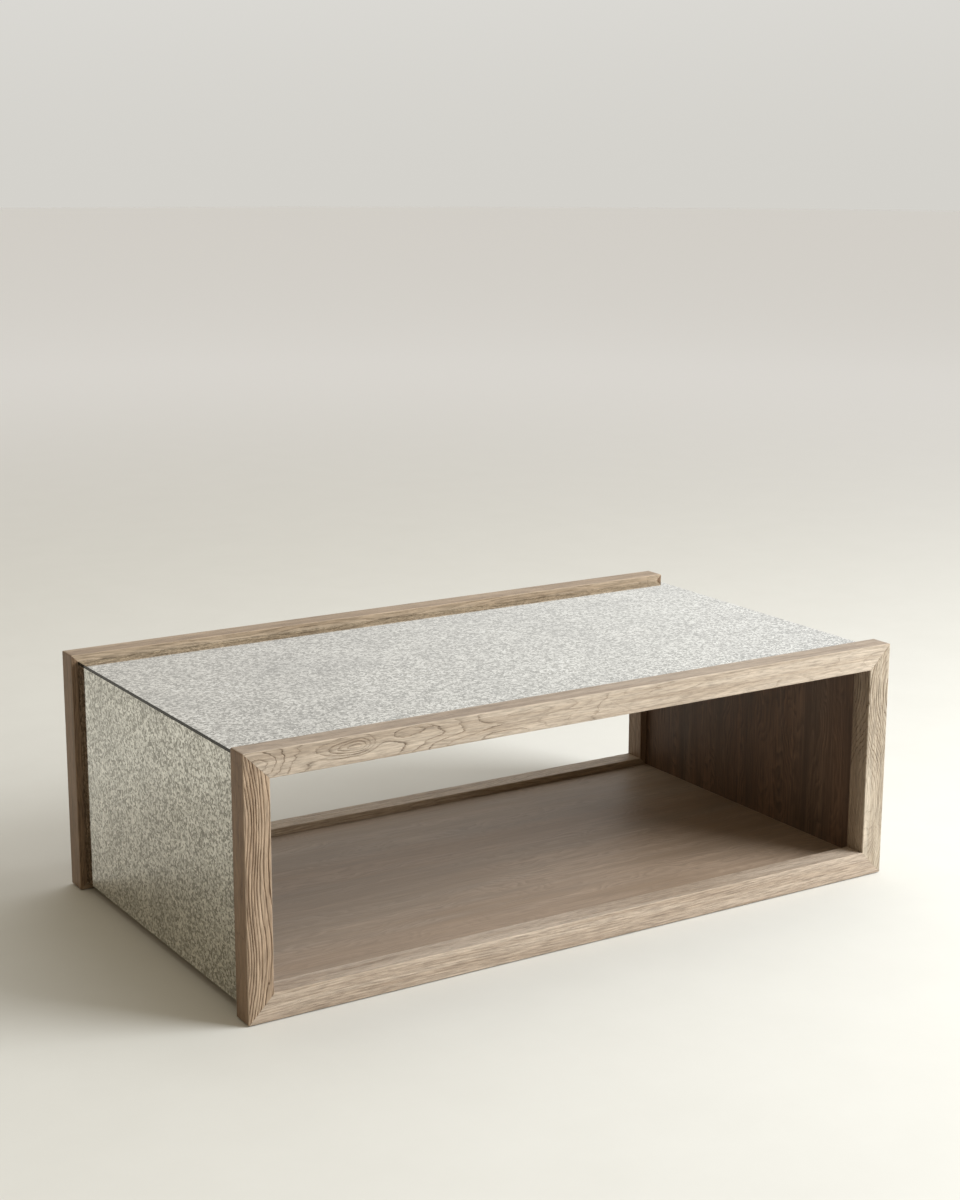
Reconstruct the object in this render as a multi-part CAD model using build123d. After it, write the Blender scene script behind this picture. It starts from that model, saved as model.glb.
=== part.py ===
from build123d import *

# Rectangular coffee table, in millimetres: two mitred oak frames, front and back, with a box between
# them that is open front to back. The top and both ends of the box are clad outside in mirror glass and
# the inside is lined with oak veneer. +X runs along the table, +Y from front to back, +Z up. The origin
# is on the floor under the middle of the table.

# Overall size
LENGTH = 1350.0
DEPTH = 762.0
HEIGHT = 457.0

# Oak frame members
MEMBER_WIDTH = 47.0  # as seen from the front
MEMBER_DEPTH = 45.0  # front to back
CORNER_RADIUS = 3.0  # outer corners of each frame
ARRIS_RADIUS = 1.5  # long edges

# Layers of the box, from the outside in
OUTER_REVEAL = 12.5  # how far the frames stand proud of the glass
GLASS = 5.0
MASTIC = 1.0
CORE = 12.0
LINING = 1.0
SHELF_CORE = 15.0
GLASS_CLEARANCE = 0.5  # between a glass edge and the frame beside it

# Loose tenons in the mitres
TENON_THICKNESS = 8.0
TENON_WIDTH = 22.0
TENON_LENGTH = 40.0

# Dowels
DOWEL_DIAMETER = 6.0
PANEL_DOWEL_LENGTH = 30.0  # half in the panel, half in the frame
LONG_ROW_COUNT = 7  # along the top and the shelf
LONG_ROW_SPAN = 1200.0
END_ROW_COUNT = 3  # up each end panel
END_ROW_SPAN = 240.0
CARCASS_DOWEL_LENGTH = 28.0
CARCASS_DOWEL_SHALLOW_END = 8.0  # in the face of the top or end core
CARCASS_ROW_COUNT = 5
CARCASS_ROW_SPAN = 560.0

# Mastic dabs between the glass and the cores
DAB_DIAMETER = 40.0
DAB_MARGIN = 70.0  # from the glass edge to the centre of the outermost dab
DABS_ALONG = 7  # along the top glass
DABS_ACROSS = 4  # front to back, on every glass
DABS_UP = 3  # up each end glass

# Cleats under the shelf, and their screws
CLEAT_SECTION = 12.0
CLEAT_LENGTH = 1260.0
SCREW_LENGTH = 24.0
SCREW_DIAMETER = 4.0
SCREW_HEAD_DIAMETER = 7.6
SCREW_HEAD_HEIGHT = 2.4
SCREW_COUNT = 5  # each way, in each cleat
SCREW_SPAN = 1120.0
SCREW_STAGGER = 60.0  # between the upright screws and the level ones

# Nailed floor glides, let into the undersides of the bottom rails
GLIDE_DIAMETER = 24.0
GLIDE_THICKNESS = 6.0
GLIDE_PROUD = 1.5
GLIDE_SPAN = 1200.0
GLIDE_ROW_COUNT = 3
NAIL_DIAMETER = 2.5
NAIL_LENGTH = 22.0
NAIL_HEAD_DIAMETER = 6.0
NAIL_HEAD_THICKNESS = 1.5
NAIL_HEAD_DEPTH = 1.5  # from the glide's face to the nail head

# Places that follow from those
HALF_LENGTH = LENGTH / 2
FRAME_BOTTOM = GLIDE_PROUD
FRAME_HEIGHT = HEIGHT - FRAME_BOTTOM
FRAME_MIDDLE_Z = FRAME_BOTTOM + FRAME_HEIGHT / 2
MEMBER_MIDDLE_Y = DEPTH / 2 - MEMBER_DEPTH / 2
BOX_HALF_DEPTH = DEPTH / 2 - MEMBER_DEPTH  # the box runs between the frames' inner faces
STACK = GLASS + MASTIC + CORE + LINING
INNER_REVEAL = MEMBER_WIDTH - OUTER_REVEAL - STACK

GLASS_OUTER_X = HALF_LENGTH - OUTER_REVEAL
CORE_OUTER_X = GLASS_OUTER_X - GLASS - MASTIC
LINING_OUTER_X = CORE_OUTER_X - CORE
LINING_INNER_X = LINING_OUTER_X - LINING
CORE_MIDDLE_X = CORE_OUTER_X - CORE / 2

GLASS_TOP_Z = HEIGHT - OUTER_REVEAL
TOP_CORE_Z = GLASS_TOP_Z - GLASS - MASTIC  # upper face of the top core
CEILING_OUTER_Z = TOP_CORE_Z - CORE
CEILING_INNER_Z = CEILING_OUTER_Z - LINING
SHELF_TOP_Z = FRAME_BOTTOM + MEMBER_WIDTH - INNER_REVEAL
SHELF_CORE_TOP_Z = SHELF_TOP_Z - LINING
SHELF_UNDERSIDE_Z = SHELF_CORE_TOP_Z - SHELF_CORE


def evenly_spaced(count, span):
    """Places along a row, centred on zero."""
    return [span * (i / (count - 1) - 0.5) for i in range(count)]


def block(x_range, y_range, z_range):
    """A rectangular block between the given coordinates."""
    size = [high - low for low, high in (x_range, y_range, z_range)]
    middle = [(high + low) / 2 for low, high in (x_range, y_range, z_range)]
    return Pos(*middle) * Box(*size)


def rod(diameter, length, start, direction):
    """A round rod that runs from start along direction."""
    return extrude(Plane(origin=start, z_dir=direction) * Circle(diameter / 2), length)


def mitre_tenons(side):
    """The four loose tenons of the front (side -1) or back (side +1) frame, one across each mitre."""
    tenons = []
    half_x = HALF_LENGTH - MEMBER_WIDTH / 2
    half_z = FRAME_HEIGHT / 2 - MEMBER_WIDTH / 2
    for x_sign in (-1, 1):
        for z_sign in (-1, 1):
            centre = (x_sign * half_x, side * MEMBER_MIDDLE_Y, FRAME_MIDDLE_Z + z_sign * half_z)
            plane = Plane(origin=centre, x_dir=(0, 1, 0), z_dir=(-x_sign, 0, z_sign))
            section = plane * SlotOverall(TENON_WIDTH, TENON_THICKNESS)
            tenons.append(extrude(section, TENON_LENGTH / 2, both=True))
    return tenons


def panel_dowels(side):
    """The dowels that join the edges of the top, ends and shelf to one frame."""
    start_y = side * BOX_HALF_DEPTH - PANEL_DOWEL_LENGTH / 2
    places = []
    for x in evenly_spaced(LONG_ROW_COUNT, LONG_ROW_SPAN):
        places.append((x, start_y, TOP_CORE_Z - CORE / 2))
        places.append((x, start_y, SHELF_CORE_TOP_Z - SHELF_CORE / 2))
    for x in (-CORE_MIDDLE_X, CORE_MIDDLE_X):
        for z in evenly_spaced(END_ROW_COUNT, END_ROW_SPAN):
            places.append((x, start_y, FRAME_MIDDLE_Z + z))
    return [rod(DOWEL_DIAMETER, PANEL_DOWEL_LENGTH, place, (0, 1, 0)) for place in places]


def carcass_dowels():
    """The dowels at the corners of the box: end cores to top core, and shelf to end cores."""
    dowels = []
    top_start = CEILING_OUTER_Z + CARCASS_DOWEL_SHALLOW_END
    shelf_start = LINING_OUTER_X + CARCASS_DOWEL_SHALLOW_END
    shelf_z = SHELF_CORE_TOP_Z - SHELF_CORE / 2
    for y in evenly_spaced(CARCASS_ROW_COUNT, CARCASS_ROW_SPAN):
        for sign in (-1, 1):
            top_place = (sign * CORE_MIDDLE_X, y, top_start)
            dowels.append(rod(DOWEL_DIAMETER, CARCASS_DOWEL_LENGTH, top_place, (0, 0, -1)))
            shelf_place = (sign * shelf_start, y, shelf_z)
            dowels.append(rod(DOWEL_DIAMETER, CARCASS_DOWEL_LENGTH, shelf_place, (-sign, 0, 0)))
    return dowels


def cleat_screw(start, direction):
    """A countersunk screw: its head starts flush at start and it drives along direction."""
    plane = Plane(origin=start, z_dir=direction)
    shank = extrude(plane * Circle(SCREW_DIAMETER / 2), SCREW_LENGTH)
    head = loft(
        [
            plane * Circle(SCREW_HEAD_DIAMETER / 2),
            plane.offset(SCREW_HEAD_HEIGHT) * Circle(SCREW_DIAMETER / 2),
        ]
    )
    return shank + head


def cleat_screws(side):
    """The screws of one cleat: a row up into the shelf and a row level into the bottom rail."""
    screws = []
    middle_y = side * (BOX_HALF_DEPTH - CLEAT_SECTION / 2)
    inner_y = side * (BOX_HALF_DEPTH - CLEAT_SECTION)
    bottom_z = SHELF_UNDERSIDE_Z - CLEAT_SECTION
    for x in evenly_spaced(SCREW_COUNT, SCREW_SPAN):
        up_place = (x - SCREW_STAGGER / 2, middle_y, bottom_z)
        screws.append(cleat_screw(up_place, (0, 0, 1)))
        level_place = (x + SCREW_STAGGER / 2, inner_y, bottom_z + CLEAT_SECTION / 2)
        screws.append(cleat_screw(level_place, (0, side, 0)))
    return screws


def cleat(side):
    """The batten under one long edge of the shelf, against the bottom rail."""
    y_range = sorted((side * BOX_HALF_DEPTH, side * (BOX_HALF_DEPTH - CLEAT_SECTION)))
    z_range = (SHELF_UNDERSIDE_Z - CLEAT_SECTION, SHELF_UNDERSIDE_Z)
    return block((-CLEAT_LENGTH / 2, CLEAT_LENGTH / 2), y_range, z_range) - cleat_screws(side)


def glide_places(side):
    """Where the glides of one bottom rail meet the floor."""
    return [(x, side * MEMBER_MIDDLE_Y, 0) for x in evenly_spaced(GLIDE_ROW_COUNT, GLIDE_SPAN)]


def glide_nail(place):
    """The nail that holds one glide, head down."""
    head_place = Vector(*place) + Vector(0, 0, NAIL_HEAD_DEPTH)
    head = rod(NAIL_HEAD_DIAMETER, NAIL_HEAD_THICKNESS, head_place, (0, 0, 1))
    return head + rod(NAIL_DIAMETER, NAIL_LENGTH, head_place, (0, 0, 1))


def glide(place):
    """One nylon disc with an eased rim and a countersink for its nail."""
    disc = rod(GLIDE_DIAMETER, GLIDE_THICKNESS, place, (0, 0, 1))
    disc = fillet(disc.edges().group_by(Axis.Z)[0], GLIDE_PROUD / 2)
    recess = rod(NAIL_HEAD_DIAMETER, NAIL_HEAD_DEPTH + NAIL_HEAD_THICKNESS, place, (0, 0, 1))
    return disc - recess - glide_nail(place)


def glide_pocket(place):
    """The round pocket in a bottom rail that takes one glide."""
    return rod(GLIDE_DIAMETER, GLIDE_THICKNESS, place, (0, 0, 1))


def frame_plane(side):
    """The upright plane through the middle of the front (side -1) or back (side +1) frame."""
    return Plane(origin=(0, side * MEMBER_MIDDLE_Y, FRAME_MIDDLE_Z), x_dir=(1, 0, 0), z_dir=(0, -1, 0))


def frame_ring(side):
    """A whole frame as one rounded ring, before it is divided at the mitres."""
    outline = RectangleRounded(LENGTH, FRAME_HEIGHT, CORNER_RADIUS)
    opening = Rectangle(LENGTH - 2 * MEMBER_WIDTH, FRAME_HEIGHT - 2 * MEMBER_WIDTH)
    ring = extrude(frame_plane(side) * (outline - opening), MEMBER_DEPTH / 2, both=True)
    faces = ring.faces().filter_by(Axis.Y).sort_by(Axis.Y)
    return fillet(faces[0].edges() + faces[-1].edges(), ARRIS_RADIUS)


def mitre_wedge(side, member):
    """The block of space, cut at 45 degrees at both ends, that one member of a frame fills."""
    outer_x = HALF_LENGTH + CORNER_RADIUS
    outer_z = FRAME_HEIGHT / 2 + CORNER_RADIUS
    inner_x = HALF_LENGTH - MEMBER_WIDTH - ARRIS_RADIUS
    inner_z = FRAME_HEIGHT / 2 - MEMBER_WIDTH - ARRIS_RADIUS
    outlines = {
        "top_rail": [(-outer_x, outer_z), (outer_x, outer_z), (inner_x, inner_z), (-inner_x, inner_z)],
        "bottom_rail": [(-outer_x, -outer_z), (outer_x, -outer_z), (inner_x, -inner_z), (-inner_x, -inner_z)],
        "left_stile": [(-outer_x, outer_z), (-outer_x, -outer_z), (-inner_x, -inner_z), (-inner_x, inner_z)],
        "right_stile": [(outer_x, outer_z), (outer_x, -outer_z), (inner_x, -inner_z), (inner_x, inner_z)],
    }
    outline = make_face(Polyline(*outlines[member], close=True))
    return extrude(frame_plane(side) * outline, MEMBER_DEPTH / 2, both=True)


def frame_member(side, member):
    """One mitred oak member, with its mortises, dowel holes, screw holes and glide pockets."""
    solid = frame_ring(side) & mitre_wedge(side, member)
    solid = solid - mitre_tenons(side) - panel_dowels(side)
    if member == "bottom_rail":
        pockets = [glide_pocket(place) for place in glide_places(side)]
        nails = [glide_nail(place) for place in glide_places(side)]
        solid = solid - pockets - nails - cleat_screws(side)
    return solid


def top_mirror():
    """The glass over the top, which laps over the upper edges of the end glasses."""
    half_y = BOX_HALF_DEPTH - GLASS_CLEARANCE
    return block((-GLASS_OUTER_X, GLASS_OUTER_X), (-half_y, half_y), (GLASS_TOP_Z - GLASS, GLASS_TOP_Z))


def end_mirror(sign):
    """The glass on one end, from the underside of the top glass down to the panel's lower edge."""
    half_y = BOX_HALF_DEPTH - GLASS_CLEARANCE
    x_range = sorted((sign * GLASS_OUTER_X, sign * (GLASS_OUTER_X - GLASS)))
    return block(x_range, (-half_y, half_y), (SHELF_UNDERSIDE_Z, GLASS_TOP_Z - GLASS))


def top_mastic():
    """Dabs of mastic between the top glass and the top core."""
    dabs = []
    for x in evenly_spaced(DABS_ALONG, 2 * (GLASS_OUTER_X - DAB_MARGIN)):
        for y in evenly_spaced(DABS_ACROSS, 2 * (BOX_HALF_DEPTH - DAB_MARGIN)):
            dabs.append(rod(DAB_DIAMETER, MASTIC, (x, y, TOP_CORE_Z), (0, 0, 1)))
    return dabs


def end_mastic(sign):
    """Dabs of mastic between one end glass and its core."""
    dabs = []
    middle_z = (SHELF_UNDERSIDE_Z + TOP_CORE_Z) / 2
    height = TOP_CORE_Z - SHELF_UNDERSIDE_Z
    for y in evenly_spaced(DABS_ACROSS, 2 * (BOX_HALF_DEPTH - DAB_MARGIN)):
        for z in evenly_spaced(DABS_UP, height - 2 * DAB_MARGIN):
            dabs.append(rod(DAB_DIAMETER, MASTIC, (sign * CORE_OUTER_X, y, middle_z + z), (sign, 0, 0)))
    return dabs


def all_panel_dowels():
    return panel_dowels(-1) + panel_dowels(1)


def top_core():
    """The board under the top glass."""
    x_range = (-CORE_OUTER_X, CORE_OUTER_X)
    board = block(x_range, (-BOX_HALF_DEPTH, BOX_HALF_DEPTH), (CEILING_OUTER_Z, TOP_CORE_Z))
    return board - all_panel_dowels() - carcass_dowels()


def end_core(sign):
    """The board behind one end glass, butted under the top core."""
    x_range = sorted((sign * CORE_OUTER_X, sign * LINING_OUTER_X))
    board = block(x_range, (-BOX_HALF_DEPTH, BOX_HALF_DEPTH), (SHELF_UNDERSIDE_Z, CEILING_OUTER_Z))
    return board - all_panel_dowels() - carcass_dowels()


def shelf_core():
    """The board of the shelf, butted between the end cores."""
    x_range = (-LINING_OUTER_X, LINING_OUTER_X)
    board = block(x_range, (-BOX_HALF_DEPTH, BOX_HALF_DEPTH), (SHELF_UNDERSIDE_Z, SHELF_CORE_TOP_Z))
    return board - all_panel_dowels() - carcass_dowels() - cleat_screws(-1) - cleat_screws(1)


def ceiling_lining():
    """The veneer sheet on the underside of the top core."""
    x_range = (-LINING_OUTER_X, LINING_OUTER_X)
    return block(x_range, (-BOX_HALF_DEPTH, BOX_HALF_DEPTH), (CEILING_INNER_Z, CEILING_OUTER_Z))


def shelf_lining():
    """The veneer sheet on the shelf, between the end linings."""
    x_range = (-LINING_INNER_X, LINING_INNER_X)
    return block(x_range, (-BOX_HALF_DEPTH, BOX_HALF_DEPTH), (SHELF_CORE_TOP_Z, SHELF_TOP_Z))


def end_lining(sign):
    """The veneer sheet on the inner face of one end core, from the shelf core to the ceiling."""
    x_range = sorted((sign * LINING_OUTER_X, sign * LINING_INNER_X))
    return block(x_range, (-BOX_HALF_DEPTH, BOX_HALF_DEPTH), (SHELF_CORE_TOP_Z, CEILING_INNER_Z))


def all_pieces():
    """Every node of the table, by name. A list is a group of separate solids."""
    pieces = {}
    for frame_name, side in (("front", -1), ("back", 1)):
        for member in ("top_rail", "bottom_rail", "left_stile", "right_stile"):
            pieces[f"{frame_name}_{member}"] = frame_member(side, member)
        pieces[f"{frame_name}_shelf_cleat"] = cleat(side)
    for end_name, sign in (("left", -1), ("right", 1)):
        pieces[f"{end_name}_end_mirror"] = end_mirror(sign)
        pieces[f"{end_name}_end_core"] = end_core(sign)
        pieces[f"{end_name}_end_lining"] = end_lining(sign)
        pieces[f"{end_name}_mirror_mastic"] = end_mastic(sign)
    pieces["top_mirror"] = top_mirror()
    pieces["top_core"] = top_core()
    pieces["top_mirror_mastic"] = top_mastic()
    pieces["ceiling_lining"] = ceiling_lining()
    pieces["shelf_core"] = shelf_core()
    pieces["shelf_lining"] = shelf_lining()
    pieces["mitre_tenons"] = mitre_tenons(-1) + mitre_tenons(1)
    pieces["panel_dowels"] = all_panel_dowels()
    pieces["carcass_dowels"] = carcass_dowels()
    pieces["cleat_screws"] = cleat_screws(-1) + cleat_screws(1)
    places = glide_places(-1) + glide_places(1)
    pieces["floor_glides"] = [glide(place) for place in places]
    pieces["glide_nails"] = [glide_nail(place) for place in places]
    return pieces


for node, piece in all_pieces().items():
    shapes = piece if isinstance(piece, list) else [piece]
    solids = [solid for shape in shapes for solid in shape.solids()]
    export_step(Compound(children=solids), f"parts/{node}.step")
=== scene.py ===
from math import cos, pi, radians, sin
from typing import NamedTuple

import bmesh
import bpy
import numpy as np
from mathutils import Matrix, Vector


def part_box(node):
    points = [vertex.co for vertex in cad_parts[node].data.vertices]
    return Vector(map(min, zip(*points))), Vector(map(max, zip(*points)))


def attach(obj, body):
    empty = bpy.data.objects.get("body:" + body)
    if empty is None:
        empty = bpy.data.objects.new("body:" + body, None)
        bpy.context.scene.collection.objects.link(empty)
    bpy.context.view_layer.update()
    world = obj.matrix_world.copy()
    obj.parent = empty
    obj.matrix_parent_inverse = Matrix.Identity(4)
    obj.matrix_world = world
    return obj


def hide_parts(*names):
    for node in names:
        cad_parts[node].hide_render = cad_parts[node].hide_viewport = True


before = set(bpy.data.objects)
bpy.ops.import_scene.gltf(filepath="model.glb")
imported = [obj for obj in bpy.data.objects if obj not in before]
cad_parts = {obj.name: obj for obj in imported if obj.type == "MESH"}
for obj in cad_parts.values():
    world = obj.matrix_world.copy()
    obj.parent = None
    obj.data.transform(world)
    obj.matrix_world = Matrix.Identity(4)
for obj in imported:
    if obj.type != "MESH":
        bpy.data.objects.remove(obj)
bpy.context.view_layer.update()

MM = 0.001
X, Y, Z = range(3)

# ---------------------------------------------------------------------------------------------------
# Sizes read from the frame, in metres. The table's long side is X and its front looks along -Y.
# ---------------------------------------------------------------------------------------------------

STILE_LOW, STILE_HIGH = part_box("front_left_stile")
RAIL_LOW, RAIL_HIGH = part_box("front_top_rail")
MEMBER_WIDTH = STILE_HIGH[X] - STILE_LOW[X]
MEMBER_DEPTH = STILE_HIGH[Y] - STILE_LOW[Y]
FRAME_LEFT = STILE_LOW[X]
FRAME_RIGHT = -FRAME_LEFT
FRAME_TOP = RAIL_HIGH[Z]
FRAME_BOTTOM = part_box("front_bottom_rail")[0][Z]
FRONT_FRAME_Y = RAIL_LOW[Y]
BACK_FRAME_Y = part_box("back_top_rail")[0][Y]

# Sizes of the finish, which CAD leaves out
ARRIS_RADIUS = 1.8 * MM     # the eased long edges of a member
CORNER_RADIUS = 3.0 * MM    # the outer corners of a frame
GROOVE_DEPTH = 0.65 * MM    # how deep soft wood is brushed out where the figure's strength is 1
MITRE_GROOVE = 0.05 * MM    # how far a member's surface lies back at its mitres
GLASS_ARRIS = 0.5 * MM      # the ground edges of a mirror
WORN_REACH = 2.6 * MM       # how far from an arris the finish is rubbed

# How finely a member's surface is divided
OUTLINE_STEP = 0.95 * MM
ARC_STEPS = 4
COARSE_STATION = 7.5 * MM
FINE_STATION = 3.0 * MM
END_STATIONS = (0.0, 0.5 * MM, 1.5 * MM, 3.0 * MM)
LAST_STATION = 8.0 * MM     # how near the far end the even stations go


# ---------------------------------------------------------------------------------------------------
# The wood's figure. A place on a member is given along it from its start, inward from the frame's
# outer edge, and in depth from the member's front face.
# ---------------------------------------------------------------------------------------------------

class Knot(NamedTuple):
    """A place that the growth rings bend round. All but rings are lengths in metres."""
    along: float
    inward: float
    rings: float     # how many rings it lifts them by
    before: float    # its reach towards the member's start
    after: float     # its reach away from the start
    across: float    # its reach inward and outward


class Figure(NamedTuple):
    """The figure of one member, with lengths in metres."""
    seed: int
    heart: tuple     # where the centre of the tree lies, inward and in depth
    pitch: float     # the width of a growth ring
    drift: tuple     # how far the heart wanders along the member, and over what length
    ripple: float    # the unevenness of the rings
    bold: tuple      # how strongly it shows at the start and farther on, and where it changes
    tone: tuple      # the member's own colour over the shared one, partly painted light: paler and cooler on the front rails and right stile for the light's sheen, darker and warmer on the left stile
    spread: float = 0.0    # how much wider the rings get towards the heart
    knots: tuple = ()


FIGURES = {
    "front_top_rail": Figure(
        seed=11, heart=(0.030, 0.075), pitch=0.0062, drift=(0.007, 0.95), ripple=0.16,
        bold=(1.45, 0.50, 0.46), tone=(1.02, 1.085, 1.16),
        knots=(
            Knot(0.024, 0.027, 4.2, 0.060, 0.054, 0.024), Knot(0.203, 0.020, 4.8, 0.062, 0.030, 0.015),
            Knot(0.290, 0.012, 1.5, 0.030, 0.040, 0.010), Knot(0.410, 0.042, 2.4, 0.110, 0.160, 0.015),
            Knot(0.530, 0.012, 1.6, 0.130, 0.150, 0.010), Knot(0.860, 0.034, 1.3, 0.180, 0.260, 0.018),
        ),
    ),
    "front_bottom_rail": Figure(
        seed=12, heart=(-0.090, 0.060), pitch=0.0044, drift=(0.012, 1.3), ripple=0.16,
        bold=(0.45, 0.45, 0.50), tone=(1.03, 1.07, 1.14),
    ),
    "front_left_stile": Figure(
        seed=13, heart=(0.260, 0.020), pitch=0.0046, drift=(0.006, 0.40), ripple=0.18,
        bold=(1.60, 1.60, 0.50), tone=(0.93, 0.88, 0.83), spread=0.50,
    ),
    "front_right_stile": Figure(
        seed=14, heart=(0.150, -0.070), pitch=0.0054, drift=(0.020, 0.46), ripple=0.22,
        bold=(0.65, 1.40, 0.24), tone=(1.12, 1.22, 1.29),
        knots=(Knot(0.115, 0.022, -3.2, 0.050, 0.090, 0.018),),
    ),
    "back_top_rail": Figure(
        seed=15, heart=(0.080, -0.100), pitch=0.0048, drift=(0.012, 0.80), ripple=0.2,
        bold=(0.6, 0.6, 0.50), tone=(1.0, 1.0, 0.97),
        knots=(Knot(1.330, 0.020, 3.0, 0.030, 0.030, 0.020),),
    ),
    "back_bottom_rail": Figure(
        seed=16, heart=(-0.070, 0.120), pitch=0.0046, drift=(0.012, 0.80), ripple=0.2,
        bold=(0.8, 0.8, 0.50), tone=(1.0, 1.0, 0.97),
        knots=(Knot(0.300, 0.030, 3.0, 0.070, 0.050, 0.022),),
    ),
    "back_left_stile": Figure(
        seed=17, heart=(0.160, -0.080), pitch=0.0050, drift=(0.008, 0.40), ripple=0.2,
        bold=(0.8, 0.8, 0.50), tone=(1.0, 0.97, 0.92),
    ),
    "back_right_stile": Figure(
        seed=18, heart=(-0.110, 0.090), pitch=0.0050, drift=(0.010, 0.40), ripple=0.2,
        bold=(0.8, 0.8, 0.50), tone=(1.0, 0.97, 0.92),
    ),
}

WAVE_COUNT = 14
WAVE_SPREAD = (0.6, 1.4)    # the fewest and the most waves in one period

DEPTH_DRIFT = 0.8           # the heart drifts in depth over this share of its drift's length
LONG_RIPPLE = (0.240, 0.034, 0.034)
SHORT_RIPPLE = (0.060, 0.010, 0.010)
SHORT_RIPPLE_SHARE = 0.35
KNOT_DEPTH = 0.030          # a knot's reach into the member

SLOPE_STEP = 0.4 * MM       # how far apart the rings are compared, to find how wide they look
RING_SLOPES = (0.04, 0.7)   # the fewest and the most rings counted in a millimetre of surface
LEAST_BRUSHING = 0.35       # the share of the relief that is left on the round of an arris


def smooth_step(value, start, stop):
    """0 up to start, 1 from stop, and a smooth change between."""
    share = np.clip((value - start) / (stop - start), 0, 1)
    return share * share * (3 - 2 * share)


def waves(points, periods, seed):
    """Smooth noise of about unit size at each point: a seeded sum of plane waves. periods are the lengths
    it varies over, per axis."""
    random = np.random.default_rng(seed)
    places = np.asarray(points, dtype=float) / np.asarray(periods, dtype=float)
    if places.ndim == 1:
        places = places[:, None]
    total = np.zeros(len(places))
    for _ in range(WAVE_COUNT):
        direction = random.normal(size=places.shape[1])
        direction *= random.uniform(*WAVE_SPREAD) / np.linalg.norm(direction)
        total += np.sin(2 * pi * (places @ direction) + random.uniform(0, 2 * pi))
    return total * np.sqrt(2 / WAVE_COUNT)


def growth(figure, along, inward, depth):
    """Which growth ring each place lies in, rising away from the heart. Whole numbers are ring edges."""
    seed = figure.seed
    wander, length = figure.drift
    heart_in = figure.heart[0] + wander * waves(along, [length], seed)
    heart_deep = figure.heart[1] + wander * waves(along, [length * DEPTH_DRIFT], seed + 100)
    radius = np.hypot(inward - heart_in, depth - heart_deep)
    share = (radius - figure.heart[0]) / MEMBER_WIDTH
    rings = MEMBER_WIDTH / figure.pitch * (share + figure.spread / 2 * share ** 2)

    places = np.stack([along, inward, depth], axis=1)
    rings += figure.ripple * waves(places, LONG_RIPPLE, seed + 200)
    rings += figure.ripple * SHORT_RIPPLE_SHARE * waves(places, SHORT_RIPPLE, seed + 300)
    for knot in figure.knots:
        reach = np.where(along < knot.along, knot.before, knot.after)
        far = ((along - knot.along) / reach) ** 2
        far += ((inward - knot.inward) / knot.across) ** 2 + (depth / KNOT_DEPTH) ** 2
        rings += knot.rings * np.exp(-far)
    return rings


def boldness(figure, along, inward):
    """How strongly the rings show, and are brushed out. They show less on a member's outer side."""
    near, far, reach = figure.bold
    strength = far + (near - far) * np.exp(-(along / reach) ** 4)
    return strength * smooth_step(inward, -0.5 * MM, 1.5 * MM) ** 0.7


def ring_widths(figure, rings, places, outward):
    """How wide a growth ring looks on the surface at each place, in millimetres."""
    along, inward, depth = places
    slope = np.stack([
        growth(figure, along + SLOPE_STEP, inward, depth) - rings,
        growth(figure, along, inward + SLOPE_STEP, depth) - rings,
        growth(figure, along, inward, depth + SLOPE_STEP) - rings,
    ]) / (SLOPE_STEP / MM)
    slope[1:] -= outward * (slope[1:] * outward).sum(axis=0)
    return 1 / np.clip(np.linalg.norm(slope, axis=0), *RING_SLOPES)


def brushed(rings, widths):
    """How deeply each place is brushed out, from 0 on hard late wood to 1 in soft early wood. Early wood
    opens within 0.7 mm of a ring's edge, and closes between 1.0 and 2.9 mm from it."""
    distance = (rings - np.floor(rings)) * widths
    return smooth_step(distance, 0.0, 0.7) * smooth_step(distance, 2.9, 1.0)


# ---------------------------------------------------------------------------------------------------
# Oak members: real bars with mitred ends, eased arrises and a wire-brushed surface
# ---------------------------------------------------------------------------------------------------

def section_outline():
    """Places round a member's section as (inward, depth), with an arc at each arris."""
    corners = [(0, 0), (MEMBER_WIDTH, 0), (MEMBER_WIDTH, MEMBER_DEPTH), (0, MEMBER_DEPTH)]
    outline = []
    for index, (corner_in, corner_deep) in enumerate(corners):
        middle_in = abs(corner_in - ARRIS_RADIUS)
        middle_deep = abs(corner_deep - ARRIS_RADIUS)
        start = pi + index * pi / 2
        arc = [
            (middle_in + ARRIS_RADIUS * cos(start + turn), middle_deep + ARRIS_RADIUS * sin(start + turn))
            for turn in (k * pi / 2 / ARC_STEPS for k in range(ARC_STEPS + 1))
        ]
        outline += arc
        next_in, next_deep = corners[(index + 1) % 4]
        side = np.hypot(next_in - corner_in, next_deep - corner_deep) - 2 * ARRIS_RADIUS
        count = int(round(side / OUTLINE_STEP))
        direction = np.array([next_in - corner_in, next_deep - corner_deep])
        direction = direction / np.linalg.norm(direction)
        outline += [tuple(np.array(arc[-1]) + direction * side * k / count) for k in range(1, count)]
    return np.array(outline)


SECTION = section_outline()


def stations(length, figure):
    """Where the sections stand along a member, from 0 to 1: close at the mitres and round the knots."""
    places = list(END_STATIONS)
    while places[-1] < length - LAST_STATION:
        near = any(-knot.before < places[-1] - knot.along < knot.after for knot in figure.knots)
        places.append(places[-1] + (FINE_STATION if near else COARSE_STATION))
    places += [length - place for place in END_STATIONS]
    return np.array(sorted(places)) / length


def bar_places(figure, low, high):
    """Places on a bar that is mitred at low and high, section after section: their share of its length,
    and along, inward and depth."""
    shares = stations(high - low, figure)
    share = np.repeat(shares, len(SECTION))
    inward, depth = np.tile(SECTION, (len(shares), 1)).T
    along = (low + inward) * (1 - share) + (high - inward) * share
    return share, along, inward, depth


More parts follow.
